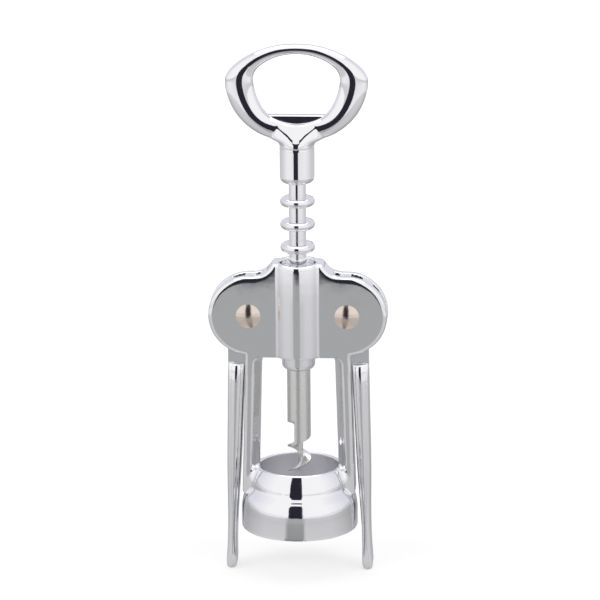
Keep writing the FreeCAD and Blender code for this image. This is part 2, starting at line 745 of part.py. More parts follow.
def cap_lifter():
    """Plate across the foot of the finger hole; its straight edge grips under a bottle cap."""
    edge = socket_bottom + lifter_rise
    foot = socket_bottom + facet_foot_rise + 2
    profile = polygon_face([
        V(0, lifter_front, foot),
        V(0, lifter_back, foot),
        V(0, lifter_back, edge),
        V(0, lifter_front + 2 * lifter_bevel, edge),
        V(0, lifter_front + lifter_bevel, edge - lifter_bevel),
    ])
    profile.translate(V(-lifter_half_width, 0, 0))
    return profile.extrude(V(2 * lifter_half_width, 0, 0))


def make_handle():
    socket = turned([
        (0, socket_bottom),
        (socket_radius, socket_bottom, socket_end_round),
        (socket_radius, socket_bottom + socket_length),
        (0, socket_bottom + socket_length),
    ])
    handle = handle_ring().multiFuse([handle_hub(), cap_lifter(), socket])
    bore = Part.makeCylinder(shaft_radius, socket_bore_depth, V(0, 0, socket_bottom))
    pin_hole = Part.makeCylinder(handle_pin_radius, 4 * socket_radius, V(-2 * socket_radius, 0, pin_height), X_AXIS)
    return handle.cut(bore).cut(pin_hole).removeSplitter()


# ---- Export, one STEP file for each piece ----
def export(name, shape):
    solids = shape.Solids
    shape = solids[0] if len(solids) == 1 else shape
    print(f"{name}: {len(solids)} solid, {shape.Volume:.1f} mm3, valid {shape.isValid()}")
    shape.exportStep(f"parts/{name}.step")


os.makedirs("parts", exist_ok=True)
export("frame", make_frame())
export("left_lever", make_lever(LEFT))
export("right_lever", make_lever(RIGHT))
export("left_pivot_rivet", make_rivet(LEFT))
export("right_pivot_rivet", make_rivet(RIGHT))
export("guide_bush", make_guide_bush())
export("rack_spindle", make_rack())
export("worm", make_worm())
export("opener_handle", make_handle())
export("handle_pin", make_handle_pin())
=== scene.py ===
import math
import bmesh
import bpy
from mathutils import Matrix, Vector


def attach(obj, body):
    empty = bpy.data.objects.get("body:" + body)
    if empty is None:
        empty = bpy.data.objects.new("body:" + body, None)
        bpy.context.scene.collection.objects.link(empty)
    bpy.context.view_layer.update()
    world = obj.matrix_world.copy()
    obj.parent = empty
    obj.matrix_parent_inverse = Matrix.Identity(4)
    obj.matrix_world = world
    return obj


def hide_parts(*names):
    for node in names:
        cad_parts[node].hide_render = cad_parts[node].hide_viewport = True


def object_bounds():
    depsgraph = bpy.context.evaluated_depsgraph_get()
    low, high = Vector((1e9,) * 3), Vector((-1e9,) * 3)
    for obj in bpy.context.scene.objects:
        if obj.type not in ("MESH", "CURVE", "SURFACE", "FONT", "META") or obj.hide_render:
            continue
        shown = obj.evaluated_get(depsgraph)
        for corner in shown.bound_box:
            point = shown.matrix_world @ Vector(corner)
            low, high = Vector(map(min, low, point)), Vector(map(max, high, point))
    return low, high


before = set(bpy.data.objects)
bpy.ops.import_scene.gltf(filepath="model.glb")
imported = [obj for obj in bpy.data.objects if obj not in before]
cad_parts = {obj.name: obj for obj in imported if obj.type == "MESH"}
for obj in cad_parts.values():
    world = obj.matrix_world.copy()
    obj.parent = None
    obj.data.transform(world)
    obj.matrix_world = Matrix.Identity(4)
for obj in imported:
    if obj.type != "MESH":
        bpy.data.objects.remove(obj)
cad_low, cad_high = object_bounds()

# A wing corkscrew: finishes for its CAD pieces, a rounder handle and frame in place of two of them, and a
# studio. Lengths are in metres, but in millimetres where the handle and the frame are shaped.
MM = 0.001


# ---- Small helpers ----
def colour(code):
    """sRGB hex such as "C8CACD" as the linear colour that a socket takes."""
    channels = [int(code[i:i + 2], 16) / 255 for i in (0, 2, 4)]
    linear = [c / 12.92 if c <= 0.04045 else ((c + 0.055) / 1.055) ** 2.4 for c in channels]
    return (*linear, 1.0)


def add(tree, kind, settings=None, links=None):
    """Adds a node. Settings are its sockets' values or properties, links lead outputs to its sockets."""
    node = tree.nodes.new(kind)
    for name, value in (settings or {}).items():
        if hasattr(node, str(name)):
            setattr(node, name, value)
        else:
            node.inputs[name].default_value = value
    for name, output in (links or {}).items():
        tree.links.new(output, node.inputs[name])
    return node


# Sockets of a colour mix, by number because a mix of plain numbers has the same names first.
first_colour = 6
second_colour = 7
mixed_colour = 2


def new_material(name):
    """An empty material, its node tree and its output node."""
    material = bpy.data.materials.new(name)
    material.use_nodes = True
    material.node_tree.nodes.clear()
    return material, material.node_tree, add(material.node_tree, "ShaderNodeOutputMaterial")


def dress(material, *nodes):
    """Gives the material to these CAD nodes."""
    for node in nodes:
        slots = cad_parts[node].data.materials
        slots.clear()
        slots.append(material)


# ---- Finishes ----
white = colour("FFFFFF")
# The bell's inside was left as cast: the upper ring's bore, and the wider mouth below it.
ring_bore = 14.3 * MM
mouth_radius = 16.2 * MM
mouth_depth = 11.6 * MM
bell_rim = 23.0 * MM
as_cast_roughness = 0.36


def dull_and_shaded_corners(tree, reach):
    """Extra roughness in corners narrower than this reach, where no polishing gets to, and also the share of
    painted shade in the colour there; none in the open.
    """
    # Ambient occlusion finds the corners: the mask both roughens them and paints shade into their colour.
    corners = add(tree, "ShaderNodeAmbientOcclusion", {"Distance": reach, "samples": 8})
    dull_and_shade = add(tree, "ShaderNodeMapRange",
               {"From Min": 0.25, "From Max": 0.85, "To Min": 0.16, "To Max": 0.0},
               {"Value": corners.outputs["AO"]})
    return dull_and_shade.outputs["Result"]


def left_as_cast(tree, place):
    """1 on the bell's inside, 0 elsewhere."""
    level = add(tree, "ShaderNodeVectorMath", {"operation": "MULTIPLY", 1: (1.0, 1.0, 0.0)}, {0: place})
    radius = add(tree, "ShaderNodeVectorMath", {"operation": "LENGTH"}, {0: level.outputs["Vector"]})
    height = add(tree, "ShaderNodeSeparateXYZ", None, {0: place}).outputs["Z"]
    in_mouth = add(tree, "ShaderNodeMath", {"operation": "LESS_THAN", 1: mouth_depth}, {0: height})
    bore = add(tree, "ShaderNodeMath",
               {"operation": "MULTIPLY_ADD", 1: mouth_radius - ring_bore, 2: ring_bore},
               {0: in_mouth.outputs["Value"]})
    inside_bore = add(tree, "ShaderNodeMath", {"operation": "LESS_THAN"},
                      {0: radius.outputs["Value"], 1: bore.outputs["Value"]})
    under_rim = add(tree, "ShaderNodeMath", {"operation": "LESS_THAN", 1: bell_rim}, {0: height})
    both = add(tree, "ShaderNodeMath", {"operation": "MULTIPLY"},
               {0: inside_bore.outputs["Value"], 1: under_rim.outputs["Value"]})
    return both.outputs["Value"]


def polished_chrome_casting():
    """Chrome plate on tumbled and buffed zinc die casting: a mirror with slow ripples from the buffing wheel,
    a light haze of handling, fine scratches, and duller plating in corners out of the wheel's reach, with
    painted shade darkening the colour there."""
    ripple_length = 9 * MM
    ripple_height = 0.025 * MM
    scratch_spacing = 0.5 * MM      # coarser than real handling scratches, which would be too fine to show
    scratch_depth = 0.002 * MM
    haze_size = 6 * MM
    plating = colour("F3F3F6")
    # Painted shade: the darker colour that the corners' ambient occlusion mixes in.
    corner_painted_shade = colour("CAC8C4")
    material, tree, output = new_material("polished_chrome_on_die_cast_zinc")
    place = add(tree, "ShaderNodeTexCoord").outputs["Object"]
    ripple = add(tree, "ShaderNodeTexNoise", {"Scale": 1 / ripple_length, "Detail": 2.0, "Roughness": 0.45},
                 {"Vector": place})
    stretched = add(tree, "ShaderNodeMapping", {"Scale": (1.0, 1.0, 0.12)}, {"Vector": place})
    scratches = add(tree, "ShaderNodeTexNoise",
                    {"Scale": 1 / scratch_spacing, "Detail": 4.0, "Roughness": 0.7},
                    {"Vector": stretched.outputs["Vector"]})
    haze = add(tree, "ShaderNodeTexNoise", {"Scale": 1 / haze_size, "Detail": 5.0, "Roughness": 0.62},
               {"Vector": place})
    hazy = add(tree, "ShaderNodeMapRange",
               {"From Min": 0.35, "From Max": 0.75, "To Min": 0.035, "To Max": 0.10},
               {"Value": haze.outputs["Fac"]})
    dull_and_shade = dull_and_shaded_corners(tree, 2.2 * MM)
    buffed = add(tree, "ShaderNodeMath", {"operation": "ADD"}, {0: hazy.outputs["Result"], 1: dull_and_shade})
    rough = add(tree, "ShaderNodeMix", {"data_type": "FLOAT", "B": as_cast_roughness},
                {"Factor": left_as_cast(tree, place), "A": buffed.outputs["Value"]})
    # The colour darkens towards the corner colour in corners: painted shade.
    tint = add(tree, "ShaderNodeMix",
               {"data_type": "RGBA", first_colour: plating, second_colour: corner_painted_shade}, {"Factor": dull_and_shade})
    waves = add(tree, "ShaderNodeBump", {"Strength": 1.0, "Distance": ripple_height},
                {"Height": ripple.outputs["Fac"]})
    lines = add(tree, "ShaderNodeBump", {"Strength": 0.5, "Distance": scratch_depth},
                {"Height": scratches.outputs["Fac"], "Normal": waves.outputs["Normal"]})
    shader = add(tree, "ShaderNodeBsdfPrincipled", {"Metallic": 1.0},
                 {"Base Color": tint.outputs[mixed_colour], "Roughness": rough.outputs["Result"],
                  "Normal": lines.outputs["Normal"]})
    tree.links.new(shader.outputs["BSDF"], output.inputs["Surface"])
    return material


def turned_chrome_steel():
    """Chrome plate on steel turned in a lathe, whose tool leaves faint rings; hazy, and duller in corners,
    where painted shade also darkens the colour.
    """
    ring_spacing = 0.1885 * MM      # coarser than the tool's real feed, which would be too fine to show
    ring_depth = 0.004 * MM
    haze_size = 3 * MM
    wave_length = math.pi / 10      # of the wave node's bands at a scale of 1
    plating = colour("F0F0F3")
    # Painted shade: the darker colour that the corners' ambient occlusion mixes in.
    corner_painted_shade = colour("C8C6C2")
    material, tree, output = new_material("bright_chrome_on_turned_steel")
    place = add(tree, "ShaderNodeTexCoord").outputs["Object"]
    feed = add(tree, "ShaderNodeTexWave",
               {"bands_direction": "Z", "Scale": wave_length / ring_spacing, "Distortion": 1.5, "Detail": 2.0,
                "Detail Scale": 1.0}, {"Vector": place})
    haze = add(tree, "ShaderNodeTexNoise", {"Scale": 1 / haze_size, "Detail": 5.0, "Roughness": 0.6},
               {"Vector": place})
    hazy = add(tree, "ShaderNodeMapRange",
               {"From Min": 0.35, "From Max": 0.75, "To Min": 0.05, "To Max": 0.13},
               {"Value": haze.outputs["Fac"]})
    dull_and_shade = dull_and_shaded_corners(tree, 1.6 * MM)
    rough = add(tree, "ShaderNodeMath", {"operation": "ADD"}, {0: hazy.outputs["Result"], 1: dull_and_shade})
    # The colour darkens towards the corner colour in corners: painted shade.
    tint = add(tree, "ShaderNodeMix",
               {"data_type": "RGBA", first_colour: plating, second_colour: corner_painted_shade}, {"Factor": dull_and_shade})
    rings = add(tree, "ShaderNodeBump", {"Strength": 0.6, "Distance": ring_depth},
                {"Height": feed.outputs["Fac"]})
    shader = add(tree, "ShaderNodeBsdfPrincipled", {"Metallic": 1.0},
                 {"Base Color": tint.outputs[mixed_colour], "Roughness": rough.outputs["Value"],
                  "Normal": rings.outputs["Normal"]})
    tree.links.new(shader.outputs["BSDF"], output.inputs["Surface"])
    return material


def nickel_worm_steel():
    """Nickel plate on a machined steel auger: satin, greyer than the chrome, with faint lengthwise draw marks
    and cloudy plating."""
    mark_spacing = 0.9 * MM         # coarser than real draw marks, which would be too fine to show
    mark_depth = 0.004 * MM
    cloud_size = 4 * MM
    plating = colour("F0F0EE")
    cloudy_plating = colour("E2E2E0")
    material, tree, output = new_material("satin_nickel_on_machined_steel")
    place = add(tree, "ShaderNodeTexCoord").outputs["Object"]
    drawn = add(tree, "ShaderNodeMapping", {"Scale": (1.0, 1.0, 0.06)}, {"Vector": place})
    marks = add(tree, "ShaderNodeTexNoise", {"Scale": 1 / mark_spacing, "Detail": 3.0, "Roughness": 0.55},
                {"Vector": drawn.outputs["Vector"]})
    clouds = add(tree, "ShaderNodeTexNoise", {"Scale": 1 / cloud_size, "Detail": 5.0, "Roughness": 0.6},
                 {"Vector": place})
    rough = add(tree, "ShaderNodeMapRange",
                {"From Min": 0.3, "From Max": 0.75, "To Min": 0.20, "To Max": 0.32},
                {"Value": clouds.outputs["Fac"]})
    tint = add(tree, "ShaderNodeMix",
               {"data_type": "RGBA", first_colour: plating, second_colour: cloudy_plating},
               {"Factor": clouds.outputs["Fac"]})
    drawing = add(tree, "ShaderNodeBump", {"Strength": 0.5, "Distance": mark_depth},
                  {"Height": marks.outputs["Fac"]})
    shader = add(tree, "ShaderNodeBsdfPrincipled", {"Metallic": 1.0},
                 {"Base Color": tint.outputs[mixed_colour], "Roughness": rough.outputs["Result"],
                  "Normal": drawing.outputs["Normal"]})
    tree.links.new(shader.outputs["BSDF"], output.inputs["Surface"])
    return material


def satin_nickel_rivet():
    """Nickel plate on cold-headed steel: warmer than chrome, slightly satin, with faint dents from the
    setting tool."""
    dent_size = 1.6 * MM
    dent_depth = 0.02 * MM
    patch_size = 1.1 * MM
    plating = colour("EBDFD5")
    worn_plating = colour("DDCCBE")
    material, tree, output = new_material("warm_nickel_on_headed_steel")
    place = add(tree, "ShaderNodeTexCoord").outputs["Object"]
    dents = add(tree, "ShaderNodeTexNoise", {"Scale": 1 / dent_size, "Detail": 3.0}, {"Vector": place})
    patches = add(tree, "ShaderNodeTexNoise", {"Scale": 1 / patch_size, "Detail": 5.0, "Roughness": 0.65},
                  {"Vector": place})
    rough = add(tree, "ShaderNodeMapRange",
                {"From Min": 0.3, "From Max": 0.75, "To Min": 0.14, "To Max": 0.22},
                {"Value": patches.outputs["Fac"]})
    tint = add(tree, "ShaderNodeMix",
               {"data_type": "RGBA", first_colour: plating, second_colour: worn_plating},
               {"Factor": patches.outputs["Fac"]})
    beaten = add(tree, "ShaderNodeBump", {"Strength": 0.8, "Distance": dent_depth},
                 {"Height": dents.outputs["Fac"]})
    shader = add(tree, "ShaderNodeBsdfPrincipled", {"Metallic": 1.0},
                 {"Base Color": tint.outputs[mixed_colour], "Roughness": rough.outputs["Result"],
                  "Normal": beaten.outputs["Normal"]})
    tree.links.new(shader.outputs["BSDF"], output.inputs["Surface"])
    return material


chrome = polished_chrome_casting()
dress(chrome, "frame", "left_lever", "right_lever", "opener_handle")
dress(turned_chrome_steel(), "rack_spindle", "guide_bush")
dress(nickel_worm_steel(), "worm")
dress(satin_nickel_rivet(), "left_pivot_rivet", "right_pivot_rivet", "handle_pin")


# ---- Tools for shaping, in millimetres ----
weld = 0.001                    # points closer than this are one


def finished_mesh(shape, name, modifier=None, **settings):
    """The bmesh as a mesh, after one modifier if it has one."""
    mesh = bpy.data.meshes.new(name)
    shape.to_mesh(mesh)
    shape.free()
    if modifier is None:
        return mesh
    holder = bpy.data.objects.new(name, mesh)
    bpy.context.scene.collection.objects.link(holder)
    step = holder.modifiers.new(modifier, modifier)
    for key, value in settings.items():
        setattr(step, key, value)
    result = bpy.data.meshes.new_from_object(holder.evaluated_get(bpy.context.evaluated_depsgraph_get()))
    bpy.data.objects.remove(holder)
    return result


def lay_ellipse(shape, middle, reach, half_depth, segments):
    """One elliptic section: its first axis along reach, its second along Y; returns its edges."""
    along = Vector(reach)
    normal = along.normalized().cross(Vector((0, 1, 0)))
    place = Matrix((
        (along.x, 0.0, normal.x, middle[0]),
        (along.y, half_depth, normal.y, middle[1]),
        (along.z, 0.0, normal.z, middle[2]),
        (0, 0, 0, 1)))
    circle = bmesh.ops.create_circle(shape, cap_ends=False, segments=segments, radius=1.0, matrix=place)
    return list({edge for vert in circle["verts"] for edge in vert.link_edges})


def skin(shape, sections, closed):
    """Walls between neighbouring sections; an open row gets its two ends filled."""
    for first, second in zip(sections, sections[1:]):
        bmesh.ops.bridge_loops(shape, edges=first + second)
    if closed:
        bmesh.ops.bridge_loops(shape, edges=sections[-1] + sections[0])
    else:
        bmesh.ops.contextual_create(shape, geom=sections[0])
        bmesh.ops.contextual_create(shape, geom=sections[-1])
    bmesh.ops.recalc_face_normals(shape, faces=shape.faces)


def turned(name, outline, closed, steps):
    """A full turn of an outline of radius and height about the spindle's axis."""
    shape = bmesh.new()
    verts = [shape.verts.new((radius, 0.0, height)) for radius, height in outline]
    pairs = zip(verts, verts[1:] + verts[:1]) if closed else zip(verts, verts[1:])
    edges = [shape.edges.new(pair) for pair in pairs]
    bmesh.ops.spin(shape, geom=verts + edges, cent=(0, 0, 0), axis=(0, 0, 1), angle=2 * math.pi, steps=steps,
                   use_merge=True)
    bmesh.ops.remove_doubles(shape, verts=shape.verts, dist=weld)
    bmesh.ops.recalc_face_normals(shape, faces=shape.faces)
    return finished_mesh(shape, name)


def rub(shape, verts, rounds):
    """Smooths these vertices, each round by half the way to their neighbours' middle."""
    for _ in range(rounds):
        bmesh.ops.smooth_vert(shape, verts=verts, factor=0.5, use_axis_x=True, use_axis_y=True,
                              use_axis_z=True)


def tumbled(raw, name, grain, rounds):
    """The casting after tumbling: its skin laid anew in squares of one grain and smoothed."""
    shape = bmesh.new()
    shape.from_mesh(finished_mesh(raw, name, "REMESH", mode="VOXEL", voxel_size=grain, use_smooth_shade=True))
    rub(shape, shape.verts, rounds)
    return shape


def casting(shape, name, node, body):
    """Scales the finished casting to metres and puts it in the place of a CAD node."""
    bmesh.ops.scale(shape, vec=(MM, MM, MM), verts=shape.verts)
    for face in shape.faces:
        face.smooth = True
    piece = bpy.data.objects.new(name, finished_mesh(shape, name))
    bpy.context.scene.collection.objects.link(piece)
    piece.data.materials.append(chrome)
    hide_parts(node)
    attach(piece, body)


# ---- Eye handle, poured and tumbled round, in millimetres ----
# Eye from its middle: outer x and z, inner x and z, half depth, from foot to crown.
# Subdividing and tumbling draw the surface about 0.6 mm in from the outer points.
eye_height = 161.7
eye_sections = (
    (0.0, -21.9, 0.0, -14.8, 3.2),
    (10.8, -20.1, 6.2, -13.4, 3.15),
    (16.2, -17.0, 10.4, -11.3, 3.1),
    (20.9, -12.7, 12.9, -7.2, 3.1),
    (24.2, -6.7, 14.4, -2.9, 3.1),
    (25.8, 0.0, 15.05, 1.2, 3.05),
    (24.7, 3.8, 14.4, 3.7, 3.0),
    (20.2, 7.9, 12.7, 5.75, 2.8),
    (15.0, 10.9, 9.6, 7.85, 2.7),
    (7.7, 13.45, 5.5, 9.5, 2.65),
    (0.0, 14.0, 0.0, 10.25, 2.6))
eye_facets = 12                 # round each section, before subdividing
# Yoke between eye and socket: height, half width, half depth.
yoke_sections = (
    (139.0, 6.1, 6.1), (139.4, 6.15, 6.15), (140.0, 6.3, 6.1), (140.7, 7.0, 5.9), (141.4, 8.6, 5.45),
    (142.15, 10.0, 5.1), (143.3, 10.6, 4.57), (144.8, 10.8, 4.1), (146.3, 10.5, 3.9), (148.3, 10.4, 3.4),
    (150.0, 10.0, 3.0))
yoke_facets = 96
facet_low = (6.1, 140.2)        # the flat on the yoke, front and back: distance from the middle, height
facet_high = (2.4, 146.9)
socket_radius = 6.15
socket_end = 125.9
socket_end_round = 2.0
socket_top = 140.0
bore_radius = 3.05
bore_depth = 10.5
hole_floor = 146.8              # lowest point of the eye's hole, an arc about a line along Y
hole_floor_radius = 16.5
hole_facets = 128
hole_length = 30
seam_height = 138.65            # the line that the two halves of the die leave round the socket
seam_half_width = 0.2
seam_depth = 0.12
lifter_edge = 150.0             # the straight edge that goes under a bottle cap
lifter_foot = 144.0
lifter_half_width = 12.6
lifter_front = -0.7
lifter_back = 2.5
lifter_edge_round = 0.6
handle_grain = 0.3
handle_rounds = 8


def eye_ring():
    """The ring that the fingers turn, skinned over its sections and rounded."""
    shape = bmesh.new()
    left_side = [(-x, z, -u, w, depth) for x, z, u, w, depth in reversed(eye_sections[1:-1])]
    loops = []
    for x, z, inner_x, inner_z, half_depth in list(eye_sections) + left_side:
        middle = ((x + inner_x) / 2, 0.0, eye_height + (z + inner_z) / 2)
        reach = ((x - inner_x) / 2, 0.0, (z - inner_z) / 2)
        loops.append(lay_ellipse(shape, middle, reach, half_depth, eye_facets))
    skin(shape, loops, closed=True)
    return finished_mesh(shape, "eye_ring", "SUBSURF", levels=3, render_levels=3)


def yoke():
    """The neck under the eye, with its flats cut in front and behind and the eye's hole through its top."""
    shape = bmesh.new()
    loops = [lay_ellipse(shape, (0, 0, height), (half_width, 0, 0), half_depth, yoke_facets)
             for height, half_width, half_depth in yoke_sections]
    skin(shape, loops, closed=False)
    rise = facet_high[1] - facet_low[1]
    fall = facet_low[0] - facet_high[0]
    for side in (-1, 1):
        cut = bmesh.ops.bisect_plane(shape, geom=shape.verts[:] + shape.edges[:] + shape.faces[:],
                                     plane_co=(0, side * facet_low[0], facet_low[1]),
                                     plane_no=(0, side * rise, fall), clear_outer=True)
        rim = [item for item in cut["geom_cut"] if isinstance(item, bmesh.types.BMEdge)]
        bmesh.ops.contextual_create(shape, geom=rim)
    bmesh.ops.recalc_face_normals(shape, faces=shape.faces)
    hole = bmesh.new()
    along_y = Matrix.Rotation(math.radians(90), 4, "X")
    place = Matrix.Translation((0, 0, hole_floor + hole_floor_radius)) @ along_y
    bmesh.ops.create_cone(hole, cap_ends=True, segments=hole_facets, radius1=hole_floor_radius,
                          radius2=hole_floor_radius, depth=hole_length, matrix=place)
    cutter = bpy.data.objects.new("hole_cutter", finished_mesh(hole, "hole_cutter"))
    bpy.context.scene.collection.objects.link(cutter)
    cut_yoke = finished_mesh(shape, "yoke", "BOOLEAN", operation="DIFFERENCE", solver="EXACT", object=cutter)
    bpy.data.objects.remove(cutter)
    return cut_yoke


def socket():
    """The round lower end with its bore."""
    inner = socket_radius - socket_end_round
    outline = [(0.0, socket_end + bore_depth), (bore_radius, socket_end + bore_depth),
               (bore_radius, socket_end), (inner, socket_end)]
    outline += [(inner + socket_end_round * math.sin(math.radians(angle)),
                 socket_end + socket_end_round * (1 - math.cos(math.radians(angle))))
                for angle in range(15, 91, 15)]
    outline += [(socket_radius, socket_top), (0.0, socket_top)]
    return turned("socket", outline, closed=False, steps=96)


def lifter_plate(shape):
    """The cap lifter's plate at the foot of the eye, a block with its edges broken."""
    reach = (2 * lifter_half_width, lifter_back - lifter_front, lifter_edge - lifter_foot)
    middle = (0.0, (lifter_back + lifter_front) / 2, (lifter_edge + lifter_foot) / 2)
    place = Matrix.Translation(middle) @ Matrix.Diagonal((*reach, 1))
    block = bmesh.ops.create_cube(shape, size=1.0, matrix=place)
    edges = list({edge for vert in block["verts"] for edge in vert.link_edges})
    bmesh.ops.bevel(shape, geom=edges, offset=lifter_edge_round, segments=3, profile=0.5, affect="EDGES",
                    material=-1)


def eye_handle():
    """One casting: eye, yoke and socket run together; the lifter's plate keeps its crisp edge."""
    whole = bmesh.new()
    for part in (eye_ring(), yoke(), socket()):
        whole.from_mesh(part)
    shape = tumbled(whole, "poured_handle", handle_grain, handle_rounds)
    for vert in shape.verts:
        if abs(vert.co.z - seam_height) < seam_half_width:
            vert.co.x *= 1 - seam_depth / socket_radius
            vert.co.y *= 1 - seam_depth / socket_radius
    lifter_plate(shape)
    casting(shape, "eye_handle", "opener_handle", "spindle")


# ---- Frame, with the soft edges of a tumbled casting, in millimetres ----
# Hollow slope from the bell's upper ring out over the shoulder of the lower one: radius, height.
shoulder_cove = ((16.0, 17.0), (16.8, 16.2), (17.3, 15.55), (17.65, 15.1), (18.1, 14.52), (18.5, 13.98),
                 (18.85, 13.47), (19.0, 13.0), (16.0, 13.0))
# Hollow corners between the upper ring and the struts: height, ring's radius there, radius of the hollow.
strut_fillets = ((13.4, 17.4, 3.8), (17.0, 17.2, 3.8), (19.0, 16.75, 3.8), (21.0, 16.0, 3.2),
                 (22.3, 15.3, 2.0), (22.9, 15.0, 0.8))
fillet_steps = 6
fillet_root = 0.5               # how far a fillet reaches into the strut behind it
strut_face = 5.2                # distance of the struts' front and back faces from the middle
# The upper ring's outside stands out at its rim and is drawn in towards its foot, between two radii.
ring_foot = 13.95
ring_rim = 22.7
ring_flare = 0.2
ring_draw = 0.65
ring_inner = 14.8
ring_outer = 18.4
frame_grain = 0.38
frame_rounds = 2
# Places that get more rounds. From the middle sideways, least and most, and height, least and most:
roof = (7.6, 12.5, 96.5, math.inf)      # where the head's roof leaves the tube's side
roof_rounds = 6
strut_feet = (14.8, 19.5, 14.3, 27.0)
feet_rounds = 4
struts = (9.0, 20.0, 24.0, 57.0)
strut_rounds = 6
cove_region = (17.2, 19.6, 13.0, 16.2)  # this one by its radius from the axis
cove_rounds = 2
kept_share = 0.69               # triangles kept after the smoothing, since the flat cheeks can spare them


def strut_fillet(side, face):
    """The casting's fillet between the upper ring and one strut, in front or behind, dying out at the rim."""
    shape = bmesh.new()
    loops = []
    for height, ring_radius, hollow in strut_fillets:
        middle_y = strut_face + hollow
        middle_x = math.sqrt((ring_radius + hollow) ** 2 - middle_y ** 2)
        last = math.degrees(math.asin(middle_y / (ring_radius + hollow)))
        angles = [math.radians(90 + (last - 90) * step / fillet_steps) for step in range(fillet_steps + 1)]
        outline = [(middle_x - hollow * math.cos(angle), middle_y - hollow * math.sin(angle))
                   for angle in angles]
        outline.append((middle_x - hollow, strut_face - fillet_root))
        verts = [shape.verts.new((side * x, face * y, height)) for x, y in outline]
        loops.append([shape.edges.new(pair) for pair in zip(verts, verts[1:] + verts[:1])])
    skin(shape, loops, closed=False)
    return finished_mesh(shape, "strut_fillet")


def from_middle(place):
    """Distance of a place to the left or right of the spindle's axis."""
    return abs(place.x)


def from_axis(place):
    """Distance of a place from the spindle's axis, all round."""
    return math.hypot(place.x, place.y)


def rub_region(shape, region, rounds, sideways):
    """Smooths one region, whose first two limits are distances that the function sideways measures."""
    nearest, farthest, lowest, highest = region
    chosen = [vert for vert in shape.verts
              if nearest < sideways(vert.co) < farthest and lowest < vert.co.z < highest]
    rub(shape, chosen, rounds)


def tumbled_frame():
    """The frame's own shape with a slope and fillets on its bell and the soft edges of a tumbled casting."""
    raw = bmesh.new()
    raw.from_mesh(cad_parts["frame"].data)
    bmesh.ops.scale(raw, vec=(1 / MM, 1 / MM, 1 / MM), verts=raw.verts)
    bmesh.ops.remove_doubles(raw, verts=raw.verts, dist=weld)
    for vert in raw.verts:
        radius = from_axis(vert.co)
        if ring_inner < radius < ring_outer and ring_foot < vert.co.z < ring_rim:
            moved = ring_flare - ring_draw * (ring_rim - vert.co.z) / (ring_rim - ring_foot)
            vert.co.x *= 1 + moved / radius
            vert.co.y *= 1 + moved / radius
    raw.from_mesh(turned("shoulder_cove", shoulder_cove, closed=True, steps=128))
    for side, face in ((-1, -1), (-1, 1), (1, -1), (1, 1)):
        raw.from_mesh(strut_fillet(side, face))
    shape = tumbled(raw, "poured_frame", frame_grain, frame_rounds)
    rub_region(shape, roof, roof_rounds, from_middle)
    rub_region(shape, strut_feet, feet_rounds, from_middle)
    rub_region(shape, struts, strut_rounds, from_middle)
    rub_region(shape, cove_region, cove_rounds, from_axis)
    lean = bmesh.new()
    lean.from_mesh(finished_mesh(shape, "lean_frame", "DECIMATE", ratio=kept_share))
    casting(lean, "tumbled_frame", "frame", "frame")


eye_handle()
tumbled_frame()


# ---- Studio ----
# The metal mirrors a white tent with a dark slit in front, a low flag behind, and a floor that sweeps up into
# the tent's wall. The slit's middle lies 5 degrees to the left.
floor_gap = 0.1 * MM            # between the object and the floor, and between the floor and the sheet on it
floor_height = cad_low.z - floor_gap
floor_size = 6.0
look_height = 0.08              # of the point on the spindle's axis that lamps and camera are aimed at
slit_distance = 0.400
slit_slope = -math.tan(math.radians(5))
slit_half_width = 0.100
slit_top = 0.490
flag_distance = 0.55
flag_half_width = 0.07
flag_top = 0.20
# The slit's dim image in the floor's gloss: half its opening angle as a slope, its soft edge, where it starts
# and how wide its sheet is, and between which distances its tone changes.
wedge_slope = math.tan(math.radians(16))
wedge_blur = 0.05
wedge_start = 0.010
wedge_width = 0.5
tone_start = 0.02
tone_end = 0.12
# What the floor gives off on top of the lamps' light: first to the eye, which makes it white, then into the
# metal, with the distances between which that changes.
eye_glow = 0.64
front_glow = 0.19
beside_glow = 0.14
beside_start = 0.02
beside_end = 0.10
sweep_glow = 0.30
sweep_start = 0.36
sweep_end = 0.42
climb_glow = 0.11
climb_start = 0.10
side_start = 0.95               # cosines from the front direction between which the climb comes in
side_end = 0.80
# The tent's tone in the metal, from the back to the front, between these cosines from the front direction.
back_cosine = -0.4
front_cosine = 0.5
back_tone = colour("E2E2EA")
fill_strength = 0.45            # of the tent's light on everything that is neither mirrored nor seen directly


def stage_sheet(name, width, height, material, place):
    """A flat sheet of the studio, made in the XY plane and set down by its matrix."""
    shape = bmesh.new()
    bmesh.ops.create_grid(shape, x_segments=1, y_segments=1, size=0.5)
    bmesh.ops.scale(shape, vec=(width, height, 1), verts=shape.verts)
    bmesh.ops.transform(shape, matrix=place, verts=shape.verts)
    sheet = bpy.data.objects.new(name, finished_mesh(shape, name))
    sheet.data.materials.append(material)
    bpy.context.scene.collection.objects.link(sheet)
    return sheet


def towards_front(tree, place):
    """Cosine of the angle between a place's horizontal direction and the studio's front, 1 in front and -1
    behind, and the place with its height taken out."""
    level = add(tree, "ShaderNodeVectorMath", {"operation": "MULTIPLY", 1: (1.0, 1.0, 0.0)}, {0: place})
    unit = add(tree, "ShaderNodeVectorMath", {"operation": "NORMALIZE"}, {0: level.outputs["Vector"]})
    front = add(tree, "ShaderNodeVectorMath", {"operation": "DOT_PRODUCT", 1: (0.0, -1.0, 0.0)},
                {0: unit.outputs["Vector"]})
    return front.outputs["Value"], level.outputs["Vector"]


def kinds_of_ray(tree):
    """1 for the rays that mirrors and glass send out, then 1 for the eye's own rays."""
    path = add(tree, "ShaderNodeLightPath")
    both = add(tree, "ShaderNodeMath", {"operation": "MAXIMUM"},
               {0: path.outputs["Is Glossy Ray"], 1: path.outputs["Is Transmission Ray"]})
    return both.outputs["Value"], path.outputs["Is Camera Ray"]


